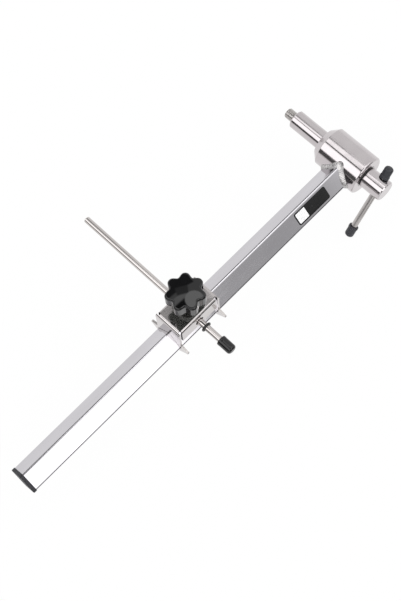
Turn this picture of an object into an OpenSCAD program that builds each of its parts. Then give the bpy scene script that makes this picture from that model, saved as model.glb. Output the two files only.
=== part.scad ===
// Derailleur hanger alignment tool.
// The spindle screws into the hanger, the arm swings round it, and a gauge rod
// on a sliding carriage is brought to the wheel rim to read how far the hanger leans.
// X runs along the arm towards the head, Y along the spindle towards its thread,
// Z towards the knob. The origin is on the spindle axis, on the shoulder that
// seats against the hanger, where the thread begins.

/* [Arm] */
// Side of the square arm tube, which lies with one edge uppermost
tube_w = 20; // [16:0.5:24]
// Wall of the arm tube
tube_wall = 1.5; // [1:0.1:2.5]
// Outside corner radius of the arm tube
tube_corner_r = 2; // [1:0.1:3]
// Spindle axis to the open end of the arm tube
arm_len = 400; // [300:5:450]
// Height of the weld fillet between tube and barrel
weld_leg = 3.2; // [2:0.1:4]

/* [End cap] */
// Thickness of the end cap's visible flange
cap_flange_t = 3.4; // [2:0.1:6]
// How far the flange stands proud of the tube all round
cap_proud = 0.5; // [0.2:0.1:1.5]
// Depth of the end cap's plug inside the tube
cap_plug_len = 14; // [8:1:25]
// Wall of the hollow plug
cap_plug_wall = 1.6; // [1:0.1:3]
// Number of grip ribs round the plug
cap_ribs = 4; // [2:1:6]

/* [Head barrel] */
// Outside diameter of the head barrel
barrel_d = 38.8; // [36:0.2:46]
// Length of the head barrel
barrel_len = 51; // [46:0.5:60]
// Front face of the barrel to the middle plane of the arm
arm_setback = 30.5; // [26:0.5:34]
// Length of the cone turned on the barrel's front
cone_len = 6.8; // [1:0.1:9]
// How much the cone takes off the barrel's radius
cone_drop = 6.3; // [1:0.1:6.6]
// Rounding of the barrel's rear edge
barrel_edge_r = 1.8; // [0.5:0.1:3]
// Wall of the two bushes
bush_wall = 2; // [1.5:0.1:3]
// Length of each bush
bush_len = 14; // [8:1:18]
// Running clearance between bush and spindle, per side
bush_clear = 0.05; // [0.02:0.01:0.1]

/* [Spindle] */
// Diameter of the spindle shaft
shaft_d = 17.7; // [15:0.1:19]
// Front face of the barrel to the shoulder behind the thread
nose_len = 35; // [25:0.5:60]
// Outside diameter of the hanger thread
thread_d = 10; // [8:0.5:12]
// Length of the threaded tip
thread_len = 9.6; // [7:0.1:14]
// Diameter of the handle hub
hub_d = 20.1; // [19.5:0.1:24]
// Length of the handle hub
hub_len = 21.8; // [18:0.2:30]
// Chamfer on the hub and on the shoulder
spindle_chamfer = 1.1; // [0.4:0.1:1.6]
// Thickness of the thrust washer between hub and barrel
thrust_t = 0.8; // [0.5:0.1:2]
// Thickness of the shim behind the retaining ring
shim_t = 0.8; // [0.5:0.1:1.5]
// Thickness of the retaining ring
ring_t = 1.2; // [1:0.1:1.6]
// End play of the spindle at each end of the barrel
end_play = 0.1; // [0.05:0.05:0.3]

/* [Handle] */
// Diameter of the sliding handle bar
handle_d = 6; // [5:0.5:8]
// Overall length of the handle with its two caps
handle_len = 82; // [70:1:110]
// Hub end face to the axis of the handle bar
handle_inset = 8; // [7:0.1:10]
// Lean of the handle from straight down, towards the arm
handle_lean = 36.5; // [-90:0.5:90]
// Diameter of the handle's caps
handle_cap_d = 9.2; // [9:0.1:12]
// Length of each handle cap
handle_cap_len = 11.7; // [9:0.1:16]
// Gap between the upper cap and the hub
handle_stop_gap = 0.35; // [0.1:0.05:1]

/* [Carriage] */
// Spindle axis to the middle of the carriage
carriage_at = 206.2; // [80:1:360]
// Length of the carriage along the arm
carriage_len = 48; // [42:0.5:60]
// Width of the carriage's top plate
carriage_w = 28; // [24:0.5:32]
// Arm axis to the top face of the carriage
carriage_top = 32.2; // [29:0.1:40]
// Sheet thickness of the carriage
sheet_t = 2; // [1.5:0.1:2.5]
// Outside radius of the carriage's bends
bend_r = 3; // [2.6:0.1:4]
// Depth of the folded sides, from the top face down to their lower edges
side_depth = 19.2; // [17:0.1:22]
// Gap between the ends of a side and the end plates
relief_gap = 1.5; // [0.8:0.1:2.5]
// Diameter of the round relief at the top of each gap
relief_d = 2.8; // [2:0.1:3.6]
// Gap round the gauge rod where it passes through the sides
side_hole_gap = 1.3; // [0.8:0.1:1.6]
// Arm axis to the tip of each ear
ear_reach = 22.2; // [21:0.1:25]
// Height of the ear tips above the arm axis
ear_z = 1.2; // [-1:0.1:3]
// Arm axis down to the flat foot of each end plate
foot_drop = 19.2; // [18.5:0.1:24]
// Sliding clearance between the end plates and the tube
slide_clear = 0.4; // [0.3:0.05:0.8]

/* [Gauge rod] */
// Diameter of the gauge rod
rod_d = 6; // [5:0.5:8]
// Length of the gauge rod
rod_len = 175; // [120:5:220]
// Arm middle plane to the end of the gauge rod inside its cap
rod_in = 50.8; // [46:0.1:90]
// Least height of the pad between the gauge rod and the edge of the tube
pad_t = 4.4; // [3:0.1:6]
// Gap between the pad and the rod, and between the pad and the tube
pad_gap = 0.3; // [0.3:0.05:0.8]
// Length of the pad along the arm
pad_len = 14; // [10:0.5:16]
// Width of the pad along the gauge rod
pad_w = 16; // [12:0.5:20]
// Running clearance of the gauge rod in its guide, per side
rod_clear = 0.05; // [0.02:0.01:0.1]
// Diameter of the gauge rod's cap
rod_cap_d = 9.6; // [9:0.1:12]
// Length of the gauge rod's cap
rod_cap_len = 14.2; // [10:0.1:20]
// Section diameter of the marker ring
marker_d = 1.9; // [1.5:0.1:2.5]
// Arm middle plane to the marker ring
marker_at = 21.9; // [18:0.1:30]

/* [Rod guide] */
// Length of the guide block along the arm
guide_len = 18; // [14:0.5:24]
// Width of the guide block along the gauge rod
guide_w = 18; // [14:0.5:20]
// How far the guide block reaches below the gauge rod's axis
guide_below = 1.4; // [0.8:0.1:2]

/* [Clamp] */
// Outside diameter of the clamp screw's thread
stud_d = 8; // [6:0.5:10]
// Running clearance of the screw in its thread, per side
stud_clear = 0.05; // [0.02:0.01:0.1]
// Height of the brass shoe that presses the gauge rod
shoe_h = 2.5; // [2.2:0.1:3.5]
// Diameter of the pivot on the end of the clamp screw
pivot_d = 3; // [2:0.1:4]
// Length of the pivot on the end of the clamp screw
pivot_len = 1.2; // [0.8:0.1:1.6]
// Tip to tip diameter of the star knob
knob_d = 35; // [30:0.5:45]
// How much the flutes cut in from the tips
flute_depth = 3.7; // [2:0.1:5]
// Number of lobes on the knob
lobes = 7; // [5:1:9]
// Turn of the first lobe from the X axis
lobe_turn = 44.5; // [0:0.5:60]
// Height of the knob's fluted head
head_h = 14; // [10:0.5:20]
// Rise of the knob's domed top above its rim
dome_h = 1.6; // [0.5:0.1:3]
// Height of the knob's plain neck
neck_h = 12; // [6:0.5:20]
// Diameter of the neck at its foot
neck_d = 17; // [14:0.5:20]
// Free screw between the carriage and the knob's neck
stud_free = 6.6; // [4:0.1:12]
// Depth of the screw's head moulded into the knob
stud_grip = 16; // [8:1:20]

/* [Hidden] */
$fn = 64;

// Stations along the spindle, measured from its shoulder
barrel_front = -nose_len;
barrel_rear = barrel_front - barrel_len;
arm_y = barrel_front - arm_setback;
bush_bore_d = shaft_d + 2 * bush_clear;
barrel_bore_d = bush_bore_d + 2 * bush_wall;
ring_od = shaft_d + 4.4;
recess_d = ring_od + 1.2;
recess_depth = shim_t + ring_t + end_play + 0.3;
ring_y = barrel_front - recess_depth + shim_t + end_play;
groove_d = shaft_d - 1.4;
washer_clear = 0.1;
shim_clear = 0.3;
thrust_od = hub_d - 0.8;
hub_front = barrel_rear - end_play - thrust_t;
hub_end = hub_front - hub_len;
handle_y = hub_end + handle_inset;
thread_chamfer = 0.9;

// Heights above the arm axis
corner_cut = tube_corner_r * (sqrt(2) - 1);
tube_peak = tube_w / sqrt(2) - corner_cut;
rod_z = tube_peak + pad_t + 2 * pad_gap + rod_d / 2;
carriage_x = -carriage_at;
plate_under = carriage_top - sheet_t;
guide_bottom = rod_z - guide_below;
pad_top = guide_bottom - pad_gap;
pad_saddle = 4;
shoe_gap = 0.3;
shoe_d = stud_d - 0.8;
shoe_top = rod_z + rod_d / 2 + shoe_gap + shoe_h;
pivot_gap = 0.05;
neck_z = carriage_top + stud_free;
head_z = neck_z + neck_h;
stud_head_d = stud_d + 3;
stud_head_t = 5;
stud_top = neck_z + stud_grip;

// Gauge rod and handle, measured along their own axes
rod_near = arm_y - rod_in;
rod_far = rod_near + rod_len;
cap_end_wall = 2;
cap_gap = 0.05;
cap_collar_t = 2.4;
cap_collar_rise = 0.35;
marker_y = arm_y - marker_at;
handle_up = hub_d / 2 + handle_stop_gap + handle_cap_len;
handle_down = handle_len - handle_up;

// Square with truly round corners, centred
module round_square(w, r) {
  square([w - 2 * r, w], center = true);
  square([w, w - 2 * r], center = true);
  for (sx = [-1, 1], sy = [-1, 1])
    translate([sx * (w / 2 - r), sy * (w / 2 - r)])
      circle(r);
}

// Square section standing on one edge, drawn from x0 to x1 along the arm
module diamond_bar(w, r, x0, x1) {
  translate([x0, arm_y, 0])
    rotate([0, 90, 0])
      rotate([0, 0, 45])
        linear_extrude(x1 - x0)
          round_square(w, r);
}

// Turned piece: a half profile of [radius, station] points round the spindle axis
module turned(points) {
  rotate([-90, 0, 0])
    rotate_extrude()
      polygon(points);
}

// Children drawn along +Z are turned to lie along +Y from the point y
module along_y(x, y, z) {
  translate([x, y, z])
    rotate([-90, 0, 0])
      children();
}

// Arm

module arm_tube() {
  inner_w = tube_w - 2 * tube_wall;
  inner_r = max(tube_corner_r - tube_wall, 0.3);
  color("silver")
    difference() {
      diamond_bar(tube_w, tube_corner_r, -arm_len, 0);
      diamond_bar(inner_w, inner_r, -arm_len - 1, 1);
      along_y(0, barrel_rear - 1, 0)
        cylinder(h = barrel_len + 2, d = barrel_d);
    }
}

// Flange over the tube's mouth and a hollow plug, whose ribs bite on the tube's inner wall
module arm_end_cap() {
  inner_w = tube_w - 2 * tube_wall;
  inner_r = max(tube_corner_r - tube_wall, 0.3);
  plug_w = inner_w - 1.2;
  rib_w = inner_w - 0.1;
  rib_t = 1;
  first_rib = 1.5;
  rib_pitch = (cap_plug_len - first_rib) / cap_ribs;
  edge_r = 0.8;
  flange_w = tube_w + 2 * cap_proud;
  flange_r = tube_corner_r + cap_proud;
  color("#2b2b2e")
    difference() {
      union() {
        diamond_bar(flange_w, flange_r, -arm_len - cap_flange_t + edge_r, -arm_len);
        diamond_bar(flange_w - 2 * edge_r, flange_r - edge_r / 2, -arm_len - cap_flange_t, -arm_len);
        diamond_bar(plug_w, inner_r, -arm_len - 0.5, -arm_len + cap_plug_len);
        for (i = [0:cap_ribs - 1])
          let (x = -arm_len + first_rib + i * rib_pitch)
          diamond_bar(rib_w, inner_r, x, x + rib_t);
      }
      diamond_bar(plug_w - 2 * cap_plug_wall, 0.5, -arm_len, -arm_len + cap_plug_len + 1);
    }
}

// Head

module head_barrel() {
  r = barrel_d / 2;
  e = barrel_edge_r;
  color("silver")
    rotate([-90, 0, 0])
      difference() {
        rotate_extrude($fn = 128)
          union() {
            polygon([[0, barrel_rear], [r - e, barrel_rear], [r, barrel_rear + e],
              [r, barrel_front - cone_len], [r - cone_drop, barrel_front], [0, barrel_front]]);
            translate([r - e, barrel_rear + e])
              circle(e);
          }
        translate([0, 0, barrel_rear - 1])
          cylinder(h = barrel_len + 2, d = barrel_bore_d);
        translate([0, 0, barrel_front - recess_depth])
          cylinder(h = recess_depth + 1, d = recess_d);
      }
}

// Points round the tube's outline grown by a margin, in Y and Z: an arc at each corner
// of the diamond, then even steps along the side to the next corner
function outline(grow) =
  let (r = tube_corner_r + grow,
    reach = (tube_w / 2 - tube_corner_r) * sqrt(2),
    arc_steps = 4,
    side_steps = 12)
  [for (q = [0:3])
    let (corner = reach * [cos(90 * q), sin(90 * q)],
      next = reach * [cos(90 * q + 90), sin(90 * q + 90)],
      side = r * [cos(90 * q + 45), sin(90 * q + 45)])
    each [
      for (i = [0:arc_steps])
        let (turn = 90 * (q - 0.5 + i / arc_steps))
        corner + r * [cos(turn), sin(turn)],
      for (i = [1:side_steps - 1])
        corner + (next - corner) * i / side_steps + side]];

// Fillet that follows the saddle where the tube meets the round barrel
module weld_bead() {
  seat = 0.03;
  belly = 0.55 * weld_leg;
  r = barrel_d / 2 + seat;
  function wall_x(z) = -sqrt(r * r - z * z);
  root = outline(seat);
  middle = outline(belly);
  toe = outline(weld_leg);
  n = len(root);
  points = [for (i = [0:n - 1])
    each [[wall_x(root[i].y), root[i].x, root[i].y],
      [wall_x(root[i].y) - weld_leg, root[i].x, root[i].y],
      [wall_x(middle[i].y) - belly, middle[i].x, middle[i].y],
      [wall_x(toe[i].y), toe[i].x, toe[i].y]]];
  faces = [for (i = [0:n - 1], k = [0:3])
    let (j = (i + 1) % n, m = (k + 1) % 4)
    [i * 4 + k, i * 4 + m, j * 4 + m, j * 4 + k]];
  color("gray")
    translate([0, arm_y, 0])
      polyhedron(points, faces, convexity = 6);
}

module bush(y0) {
  turned([[bush_bore_d / 2, y0], [barrel_bore_d / 2, y0],
    [barrel_bore_d / 2, y0 + bush_len], [bush_bore_d / 2, y0 + bush_len]]);
}

module front_bush() {
  color("#a3a2a0")
    bush(barrel_front - recess_depth - bush_len);
}

module rear_bush() {
  color("#a3a2a0")
    bush(barrel_rear);
}

// Spindle

module spindle() {
  c = spindle_chamfer;
  color("silver")
    difference() {
      turned([
        [0, hub_end],
        [hub_d / 2 - c, hub_end],
        [hub_d / 2, hub_end + c],
        [hub_d / 2, hub_front - c / 2],
        [hub_d / 2 - c / 2, hub_front],
        [shaft_d / 2, hub_front],
        [shaft_d / 2, ring_y],
        [groove_d / 2, ring_y],
        [groove_d / 2, ring_y + ring_t],
        [shaft_d / 2, ring_y + ring_t],
        [shaft_d / 2, -c],
        [shaft_d / 2 - c, 0],
        [thread_d / 2, 0],
        [thread_d / 2, thread_len - thread_chamfer],
        [thread_d / 2 - thread_chamfer, thread_len],
        [0, thread_len]]);
      handle_frame()
        cylinder(h = hub_d + 2, d = handle_d + 2 * rod_clear, center = true);
    }
}

module thrust_washer() {
  color("#3a3a3a")
    turned([[shaft_d / 2 + washer_clear, hub_front], [thrust_od / 2, hub_front],
      [thrust_od / 2, hub_front + thrust_t], [shaft_d / 2 + washer_clear, hub_front + thrust_t]]);
}

module shim_washer() {
  y0 = barrel_front - recess_depth;
  color("silver")
    turned([[shaft_d / 2 + shim_clear, y0], [ring_od / 2, y0],
      [ring_od / 2, y0 + shim_t], [shaft_d / 2 + shim_clear, y0 + shim_t]]);
}

// Open ring with a gap and a hole in each lug, seated in the spindle's groove
module retaining_ring() {
  y0 = ring_y;
  mean_r = (ring_od + groove_d) / 4;
  play = 0.05;
  gap_w = groove_d * 0.3;
  lug_turn = 30;
  lug_hole_d = 1.6;
  color("#4a4a4a")
    difference() {
      turned([[groove_d / 2 + play, y0 + play], [ring_od / 2, y0 + play],
        [ring_od / 2, y0 + ring_t - play], [groove_d / 2 + play, y0 + ring_t - play]]);
      translate([0, y0 + ring_t / 2, -ring_od / 2])
        cube([gap_w, 2 * ring_t, ring_od], center = true);
      for (s = [-1, 1])
        rotate([0, s * lug_turn, 0])
          along_y(0, y0 - 1, -mean_r)
            cylinder(h = ring_t + 2, d = lug_hole_d);
    }
}

// Handle

// Places children, drawn along +Z, on the handle's axis with +Z up the handle
module handle_frame() {
  translate([0, handle_y, 0])
    rotate([0, handle_lean, 0])
      children();
}

// Moulded cap: rounded end at z = 0, mouth at z = len, blind hole for the bar
module push_cap(od, len, bar_d) {
  round_r = od * 0.22;
  body_r = od / 2 - cap_collar_rise;
  difference() {
    union() {
      rotate_extrude()
        union() {
          translate([0, round_r])
            square([body_r, len - round_r]);
          square([body_r - round_r, len]);
          intersection() {
            translate([body_r - round_r, round_r])
              circle(round_r);
            square([body_r, len]);
          }
        }
      translate([0, 0, len - cap_collar_t])
        cylinder(h = cap_collar_t, d = od);
    }
    translate([0, 0, cap_end_wall])
      cylinder(h = len, d = bar_d + 2 * cap_gap);
  }
}

module handle_bar() {
  c = 0.6;
  top = handle_up - cap_end_wall - cap_gap;
  low = -handle_down + cap_end_wall + cap_gap;
  color("silver")
    handle_frame()
      rotate_extrude()
        polygon([[0, low], [handle_d / 2 - c, low], [handle_d / 2, low + c],
          [handle_d / 2, top - c], [handle_d / 2 - c, top], [0, top]]);
}

module handle_cap_upper() {
  color("#2b2b2e")
    handle_frame()
      translate([0, 0, handle_up])
        rotate([180, 0, 0])
          push_cap(handle_cap_d, handle_cap_len, handle_d);
}

module handle_cap_lower() {
  color("#2b2b2e")
    handle_frame()
      translate([0, 0, -handle_down])
        push_cap(handle_cap_d, handle_cap_len, handle_d);
}

// Carriage

// End view of the carriage, in Y and Z, without the tube's window.
// The sides drop straight, run out to the ears and come back along the tube's lower faces.
module end_outline() {
  half = carriage_w / 2;
  ear_rise = 3.4;
  ear_root = ear_z + ear_rise;
  tip_bevel = [0.7, 0.9];
  foot_half = ear_reach - (foot_drop + ear_z);
  neck_r = 2.2;
  difference() {
    polygon([[-half, carriage_top], [half, carriage_top], [half, ear_root + neck_r],
      [half + neck_r, ear_root], [ear_reach - tip_bevel.x, ear_z + tip_bevel.y], [ear_reach, ear_z],
      [foot_half, -foot_drop], [-foot_half, -foot_drop], [-ear_reach, ear_z],
      [-ear_reach + tip_bevel.x, ear_z + tip_bevel.y], [-half - neck_r, ear_root],
      [-half, ear_root + neck_r]]);
    for (s = [-1, 1])
      translate([s * (half + neck_r), ear_root + neck_r])
        circle(neck_r);
  }
}

// Side view of the bent sheet, in X and Z: a top with two legs and rounded bends
module bent_strip() {
  l = carriage_len;
  h = carriage_top + foot_drop;
  inner_r = bend_r - sheet_t;
  difference() {
    union() {
      translate([-l / 2, -foot_drop])
        square([l, h - bend_r]);
      translate([-l / 2 + bend_r, -foot_drop])
        square([l - 2 * bend_r, h]);
      for (s = [-1, 1])
        translate([s * (l / 2 - bend_r), carriage_top - bend_r])
          circle(bend_r);
    }
    translate([-l / 2 + sheet_t, -foot_drop - 1])
      square([l - 2 * sheet_t, h + 1 - bend_r]);
    translate([-l / 2 + bend_r, -foot_drop - 1])
      square([l - 2 * bend_r, h + 1 - sheet_t]);
    for (s = [-1, 1])
      translate([s * (l / 2 - bend_r), carriage_top - bend_r])
        circle(inner_r);
  }
}

// Side along one long edge: a rounded bend and a straight drop, drawn in Y and Z
module side_profile() {
  half = carriage_w / 2;
  inner_r = bend_r - sheet_t;
  lap = 0.5;
  difference() {
    union() {
      translate([half - bend_r, carriage_top - bend_r])
        circle(bend_r);
      translate([half - bend_r, carriage_top - side_depth])
        square([bend_r, side_depth - bend_r]);
      translate([half - bend_r - lap, carriage_top - sheet_t])
        square([lap + bend_r / 3, sheet_t]);
    }
    translate([half - bend_r, carriage_top - bend_r])
      circle(inner_r);
    translate([half - 2 * bend_r, carriage_top - side_depth - 1])
      square([bend_r + inner_r, side_depth + 1 - bend_r]);
    translate([half - 2 * bend_r, carriage_top - side_depth - 1])
      square([bend_r, side_depth + 1 - sheet_t]);
  }
}

// Sheet folded down at its ends and sides, with a round relief at each corner, a window for
// the tube in each end, holes for the gauge rod in its sides and a tapped hole on top
module carriage_plate() {
  side_len = carriage_len - 2 * (sheet_t + relief_gap);
  side_slot = side_len + 2 * relief_gap;
  relief_below = 2.6;
  relief_r = relief_d / 2;
  window_w = tube_w + 2 * slide_clear;
  window_r = max(tube_corner_r - slide_clear, 0.5);
  color("#c9c6c4")
    difference() {
      translate([carriage_x, arm_y, 0])
        union() {
          difference() {
            intersection() {
              rotate([90, 0, 0])
                linear_extrude(2 * ear_reach + 2, center = true)
                  bent_strip();
              rotate([90, 0, 90])
                linear_extrude(carriage_len + 2, center = true)
                  end_outline();
            }
            for (s = [-1, 1])
              translate([-side_slot / 2, s > 0 ? carriage_w / 2 - bend_r : -carriage_w / 2 - 1,
                carriage_top - bend_r - 1])
                cube([side_slot, bend_r + 1, bend_r + 2]);
          }
          for (s = [0, 1])
            mirror([0, s, 0])
              rotate([90, 0, 90])
                linear_extrude(side_len, center = true)
                  side_profile();
        }
      for (sx = [-1, 1], sy = [-1, 1])
        translate([carriage_x + sx * (side_len + relief_gap) / 2, arm_y + sy * (carriage_w / 2 - relief_r),
          carriage_top - bend_r - relief_below])
          cylinder(h = bend_r + relief_below + 1, r = relief_r, $fn = 32);
      diamond_bar(window_w, window_r, carriage_x - carriage_len, carriage_x + carriage_len);
      along_y(carriage_x, arm_y - carriage_w, rod_z)
        cylinder(h = 2 * carriage_w, d = rod_d + 2 * side_hole_gap);
      translate([carriage_x, arm_y, plate_under - 1])
        cylinder(h = sheet_t + 2, d = stud_d + 2 * stud_clear);
    }
}

// Block under the top plate: bored across for the gauge rod, threaded down for the screw
module rod_guide_block() {
  h = plate_under - guide_bottom;
  edge = 1.2;
  color("#a8a6a3")
    difference() {
      translate([carriage_x, arm_y, guide_bottom])
        rotate([90, 0, 0])
          linear_extrude(guide_w, center = true)
            polygon([[-guide_len / 2 + edge, 0], [guide_len / 2 - edge, 0], [guide_len / 2, edge],
              [guide_len / 2, h], [-guide_len / 2, h], [-guide_len / 2, edge]]);
      along_y(carriage_x, arm_y - guide_w, rod_z)
        cylinder(h = 2 * guide_w, d = rod_d + 2 * rod_clear);
      translate([carriage_x, arm_y, rod_z])
        cylinder(h = h + 2, d = stud_d + 2 * stud_clear);
    }
}

// Pad that the clamped rod presses on the tube: saddles the tube below, grooved for the rod above
module pressure_pad() {
  pad_bottom = tube_peak - pad_saddle;
  color("#26262a")
    difference() {
      translate([carriage_x - pad_len / 2, arm_y - pad_w / 2, pad_bottom])
        cube([pad_len, pad_w, pad_top - pad_bottom]);
      diamond_bar(tube_w + 2 * pad_gap, tube_corner_r + pad_gap, carriage_x - pad_len, carriage_x + pad_len);
      along_y(carriage_x, arm_y - pad_w, rod_z)
        cylinder(h = 2 * pad_w, d = rod_d + 2 * pad_gap);
    }
}

// Gauge rod

module gauge_rod() {
  c = 0.7;
  color("silver")
    along_y(carriage_x, 0, rod_z)
      rotate_extrude()
        polygon([[0, rod_near], [rod_d / 2 - c, rod_near], [rod_d / 2, rod_near + c],
          [rod_d / 2, rod_far - c], [rod_d / 2 - c, rod_far], [0, rod_far]]);
}

module gauge_rod_cap() {
  color("#202023")
    along_y(carriage_x, rod_near - cap_end_wall - cap_gap, rod_z)
      push_cap(rod_cap_d, rod_cap_len, rod_d);
}

module marker_ring() {
  color("#202023")
    along_y(carriage_x, marker_y, rod_z)
      rotate_extrude($fn = 48)
        translate([rod_d / 2 + marker_d / 2, 0])
          circle(d = marker_d, $fn = 24);
}

// Clamp

// Brass shoe: saddles the gauge rod below and takes the screw's pivot above
module clamp_shoe() {
  saddle = 0.4;
  shoe_bottom = rod_z + rod_d / 2 - saddle;
  color("#c9a24a")
    difference() {
      translate([carriage_x, arm_y, shoe_bottom])
        cylinder(h = shoe_top - shoe_bottom, d = shoe_d);
      along_y(carriage_x, arm_y - guide_w, rod_z)
        cylinder(h = 2 * guide_w, d = rod_d + 2 * shoe_gap);
      translate([carriage_x, arm_y, shoe_top - pivot_len])
        cylinder(h = pivot_len + 1, d = pivot_d + 2 * stud_clear);
    }
}

// Screw with a pivot at its foot and a head that the knob is moulded round
module clamp_stud() {
  c = 0.7;
  shoulder = shoe_top + pivot_gap;
  pivot_end = shoe_top - pivot_len + pivot_gap + 0.2;
  head_under = stud_top - stud_head_t;
  color("silver")
    translate([carriage_x, arm_y, 0])
      rotate_extrude()
        polygon([[0, pivot_end], [pivot_d / 2, pivot_end], [pivot_d / 2, shoulder],
          [stud_d / 2 - c, shoulder], [stud_d / 2, shoulder + c], [stud_d / 2, head_under],
          [stud_head_d / 2, head_under], [stud_head_d / 2, stud_top], [0, stud_top]]);
}

// Radius of the fluted outline at a turn from a lobe's tip; the power keeps the lobes broad
flute_power = 1.3;
function lobe_r(a) = knob_d / 2 - flute_depth * pow((1 - cos(lobes * a)) / 2, flute_power);

module clamp_knob() {
  steps = 16 * lobes;
  rim_r = knob_d / 2;
  edge = 2.6;
  under = 1.2;
  dome_r = (rim_r * rim_r + dome_h * dome_h) / (2 * dome_h);
  color("#1b1b1d")
    translate([carriage_x, arm_y, 0])
      difference() {
        union() {
          translate([0, 0, head_z])
            intersection() {
              rotate([0, 0, lobe_turn])
                linear_extrude(head_h + dome_h)
                  polygon([for (i = [0:steps - 1])
                    let (a = 360 * i / steps)
                    lobe_r(a) * [cos(a), sin(a)]]);
              rotate_extrude($fn = 128)
                intersection() {
                  union() {
                    translate([0, under])
                      square([rim_r, head_h - edge - under]);
                    square([rim_r - under, head_h + dome_h]);
                    translate([rim_r - edge, head_h - edge])
                      circle(edge);
                  }
                  translate([0, head_h + dome_h - dome_r])
                    circle(dome_r, $fn = 360);
                  square([rim_r, head_h + dome_h]);
                }
            }
          translate([0, 0, neck_z])
            cylinder(h = neck_h + 0.5, d1 = neck_d, d2 = neck_d + 2.5);
        }
        translate([0, 0, neck_z - 1])
          cylinder(h = stud_grip + 1, d = stud_d);
        translate([0, 0, stud_top - stud_head_t])
          cylinder(h = stud_head_t, d = stud_head_d);
      }
}

arm_tube();
arm_end_cap();
head_barrel();
weld_bead();
front_bush();
rear_bush();
spindle();
thrust_washer();
shim_washer();
retaining_ring();
handle_bar();
handle_cap_upper();
handle_cap_lower();
carriage_plate();
rod_guide_block();
pressure_pad();
gauge_rod();
gauge_rod_cap();
marker_ring();
clamp_shoe();
clamp_stud();
clamp_knob();
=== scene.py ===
import math

import bmesh
import bpy
import numpy as np
from mathutils import Matrix, Vector


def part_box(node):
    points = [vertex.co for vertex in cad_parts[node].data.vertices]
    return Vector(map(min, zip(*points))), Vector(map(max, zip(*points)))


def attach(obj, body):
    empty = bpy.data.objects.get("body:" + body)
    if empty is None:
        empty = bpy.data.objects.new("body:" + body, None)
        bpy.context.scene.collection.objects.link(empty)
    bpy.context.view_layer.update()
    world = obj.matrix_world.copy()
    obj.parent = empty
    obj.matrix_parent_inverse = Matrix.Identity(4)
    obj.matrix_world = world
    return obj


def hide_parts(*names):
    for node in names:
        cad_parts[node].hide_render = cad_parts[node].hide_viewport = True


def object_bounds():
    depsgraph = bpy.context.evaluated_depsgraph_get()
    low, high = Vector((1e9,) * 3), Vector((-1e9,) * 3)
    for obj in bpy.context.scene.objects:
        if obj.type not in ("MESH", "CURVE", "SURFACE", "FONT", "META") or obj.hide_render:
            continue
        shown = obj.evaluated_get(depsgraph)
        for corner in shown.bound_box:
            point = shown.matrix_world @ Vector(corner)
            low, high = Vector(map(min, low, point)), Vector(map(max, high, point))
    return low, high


# Looks of a derailleur hanger alignment tool: polished steel arm, turned head, folded carriage,
# gauge rod and star knob. Sizes are millimetres in the part's own frame until a mesh is made.

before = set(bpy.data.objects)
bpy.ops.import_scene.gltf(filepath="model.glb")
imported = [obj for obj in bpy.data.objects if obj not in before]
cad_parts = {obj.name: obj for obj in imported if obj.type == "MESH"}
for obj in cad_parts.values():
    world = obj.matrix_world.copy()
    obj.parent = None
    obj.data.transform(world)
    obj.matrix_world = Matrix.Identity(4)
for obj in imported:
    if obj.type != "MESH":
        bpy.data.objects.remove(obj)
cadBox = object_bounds()
metresPerMm = 0.001
# Points of one mesh that lie closer than this, in metres, are merged
mergeWithin = 1e-6
# Edges that bend more than this, in degrees, shade sharp unless a piece says otherwise
sharpEdge = 35
print("frame loaded")


def nodeBox(node):
    # Lowest and highest corner of a CAD node, in millimetres
    low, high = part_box(node)
    return np.array(low) / metresPerMm, np.array(high) / metresPerMm


# Meshes

def gridQuads(rows, cols, wrapRows, wrapCols):
    # Quads between neighbouring points of a grid stored row by row
    i = np.arange(rows if wrapRows else rows - 1)[:, None]
    j = np.arange(cols if wrapCols else cols - 1)[None, :]
    below, beside = (i + 1) % rows, (j + 1) % cols
    quads = np.stack([i * cols + j, i * cols + beside, below * cols + beside, below * cols + j], -1)
    return quads.reshape(-1, 4)


def onceRound(count):
    # Angles of evenly spaced columns round an axis
    return np.arange(count) * 2 * math.pi / count


def makePiece(name, points, quads, material, body, nodes=(), sharpAngle=sharpEdge):
    # Mesh from points in millimetres: doubles merged at seams and poles, faces turned outwards
    mesh = bpy.data.meshes.new(name)
    mesh.from_pydata(np.asarray(points).reshape(-1, 3) * metresPerMm, [], quads.tolist())
    work = bmesh.new()
    work.from_mesh(mesh)
    bmesh.ops.remove_doubles(work, verts=work.verts, dist=mergeWithin)
    bmesh.ops.recalc_face_normals(work, faces=work.faces)
    if work.calc_volume(signed=True) < 0:
        bmesh.ops.reverse_faces(work, faces=work.faces)
    work.to_mesh(mesh)
    work.free()
    return dressPiece(name, mesh, material, body, nodes, sharpAngle)


def dressPiece(name, mesh, material, body, nodes, sharpAngle):
    # Object from a mesh, with its finish, the body it rides on and the CAD nodes it replaces
    mesh.materials.clear()
    mesh.materials.append(material)
    mesh.shade_smooth()
    mesh.set_sharp_from_angle(angle=math.radians(sharpAngle))
    piece = bpy.data.objects.new(name, mesh)
    bpy.context.scene.collection.objects.link(piece)
    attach(piece, body)
    if nodes:
        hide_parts(*nodes)
    return piece


def faceTable(piece):
    # Middle (millimetres) and outward normal of every face, as arrays
    count = len(piece.data.polygons)
    middles, ways = np.empty(count * 3), np.empty(count * 3)
    piece.data.polygons.foreach_get("center", middles)
    piece.data.polygons.foreach_get("normal", ways)
    return middles.reshape(-1, 3) / metresPerMm, ways.reshape(-1, 3)


def addFinish(piece, material, chosen):
    # The chosen faces take a further material
    slots = np.zeros(len(piece.data.polygons), dtype=int)
    piece.data.polygons.foreach_get("material_index", slots)
    slots[chosen] = len(piece.data.materials)
    piece.data.materials.append(material)
    piece.data.polygons.foreach_set("material_index", slots)


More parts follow.
